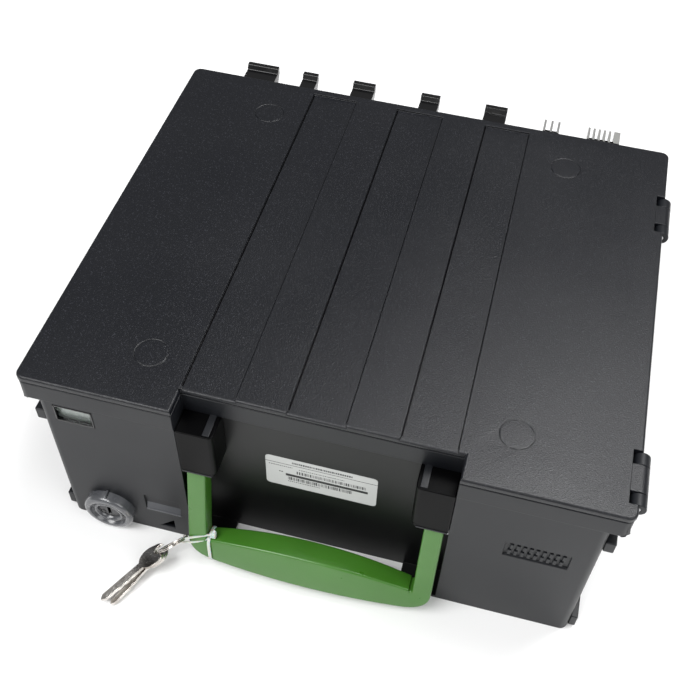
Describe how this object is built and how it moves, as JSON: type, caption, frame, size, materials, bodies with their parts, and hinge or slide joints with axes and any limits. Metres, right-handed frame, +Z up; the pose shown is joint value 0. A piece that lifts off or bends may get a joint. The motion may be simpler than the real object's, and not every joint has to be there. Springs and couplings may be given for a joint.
{
  "type": "banknote cassette",
  "caption": "Flat lidded banknote cassette with a swinging front carry handle, key lock, sprung rear shutter, note pusher and geared note transport.",
  "frame": {"origin": "centre of the base's resting face", "axes": "+Z up through the lid, -Y the front with the handle and the lock, +X to the right seen from the front, where the lid's hinges are"},
  "size_m": [0.4055, 0.4295, 0.167],
  "materials": {
    "lid_plastic": "fine textured black, faint sparkle",
    "body_plastic": "lightly textured black",
    "gloss_black": "smooth black",
    "inner_plastic": "smooth dark grey",
    "handle_green": "satin green",
    "tie_nylon": "translucent white nylon",
    "nickel": "nickel plated, lightly scratched",
    "steel": "zinc plated",
    "brass": "turned",
    "lock_grey": "satin grey",
    "flag_plastic": "pale grey green",
    "clear_lens": "clear",
    "label_stock": "printed label",
    "roller_rubber": "matte",
    "gear_plastic": "natural acetal",
    "board_green": "circuit board",
    "contact_gold": "gold plated"
  },
  "bodies": {
    "casing": {"base_tub": "body_plastic", "collar_frame": "body_plastic", "collar_screws": "steel", "contact_board": "board_green", "contact_pads": "contact_gold", "divider_left": "inner_plastic", "divider_right": "inner_plastic", "drive_axle": "steel", "edge_comb_large": "gloss_black", "edge_comb_small": "gloss_black", "exit_chute": "gloss_black", "front_bezel": "body_plastic", "guide_fingers": "gloss_black", "guide_rods": "steel", "handle_pins": "steel", "hinge_pins": "steel", "hood_left": "gloss_black", "hood_right": "gloss_black", "latch_guides": "gloss_black", "lock_housing": "lock_grey", "lower_rails": "body_plastic", "note_floor": "inner_plastic", "rating_label": "label_stock", "riser_guides": "gloss_black", "rod_supports": "inner_plastic", "screw_bushes": "brass", "shaft_bushes": "brass", "shutter_tracks": "gloss_black", "upper_rails": "body_plastic", "window_lens": "clear_lens"},
    "lid": {"lid_panel": "lid_plastic", "lid_stiffener": "body_plastic", "lid_strikers": "steel"},
    "handle": {"carry_handle": "handle_green", "cable_tie": "tie_nylon"},
    "keys": {"key_ring": "nickel", "key_a": "nickel", "key_b": "nickel"},
    "lock": {"lock_cylinder": "brass", "lock_cam": "steel"},
    "riser": {"riser_bar": "steel", "status_flag": "flag_plastic"},
    "latch": {"latch_bar": "steel"},
    "shutter": {"rear_shutter": "steel"},
    "pusher": {"pusher_carriage": "gloss_black", "screw_nut": "brass", "pusher_plate": "inner_plastic"},
    "screw": {"lead_screw": "steel"},
    "feed": {"feed_shaft": "steel", "feed_rollers": "roller_rubber", "feed_gear": "gear_plastic"},
    "drive": {"drive_gear": "gear_plastic"},
    "separation": {"separation_shaft": "steel", "separation_rollers": "roller_rubber", "separation_gear": "gear_plastic"}
  },
  "joints": [
    {"name": "lid_hinge", "type": "hinge", "parent": "casing", "child": "lid", "pos_m": [0.2, 0, 0.1585], "axis": [0, 1, 0], "range_deg": [0, 105]},
    {"name": "handle_swing", "type": "hinge", "parent": "casing", "child": "handle", "pos_m": [0, -0.1645, 0.0884], "axis": [-1, 0, 0], "range_deg": [0, 65]},
    {"name": "key_swing", "type": "hinge", "parent": "handle", "child": "keys", "pos_m": [-0.09176, -0.18698, 0.02659], "axis": [1, 0, 0], "range_deg": [0, 45]},
    {"name": "lock_turn", "type": "hinge", "parent": "casing", "child": "lock", "pos_m": [-0.156, -0.16, 0.02], "axis": [0, 1, 0], "range_deg": [0, 90]},
    {"name": "riser_slide", "type": "slide", "parent": "casing", "child": "riser", "axis": [0, 0, 1], "range_m": [0, 0.012]},
    {"name": "latch_slide", "type": "slide", "parent": "casing", "child": "latch", "axis": [0, 1, 0], "range_m": [0, 0.008]},
    {"name": "shutter_slide", "type": "slide", "parent": "casing", "child": "shutter", "axis": [0, 0, -1], "range_m": [0, 0.024], "stiffness_N_per_m": 20, "springref_m": -0.03},
    {"name": "pusher_slide", "type": "slide", "parent": "casing", "child": "pusher", "axis": [0, 1, 0], "range_m": [0, 0.19]},
    {"name": "screw_turn", "type": "hinge", "parent": "casing", "child": "screw", "pos_m": [-0.005, 0, 0.015], "axis": [0, 1, 0], "range_deg": [0, 3421]},
    {"name": "feed_spin", "type": "hinge", "parent": "casing", "child": "feed", "pos_m": [0, 0.122, 0.095], "axis": [1, 0, 0], "continuous": true},
    {"name": "drive_spin", "type": "hinge", "parent": "casing", "child": "drive", "pos_m": [0.164, 0.15149, 0.0802], "axis": [1, 0, 0], "continuous": true},
    {"name": "separation_spin", "type": "hinge", "parent": "casing", "child": "separation", "pos_m": [0, 0.14, 0.119], "axis": [1, 0, 0], "continuous": true}
  ],
  "couplings": [
    {"joint": "riser_slide", "follows": "latch_slide", "ratio": 1.5},
    {"joint": "lock_turn", "follows": "latch_slide", "rad_per_m": 196.35},
    {"joint": "screw_turn", "follows": "pusher_slide", "rad_per_m": 314.16},
    {"joint": "drive_spin", "follows": "feed_spin", "ratio": -1.2},
    {"joint": "separation_spin", "follows": "feed_spin", "ratio": -1.5}
  ]
}
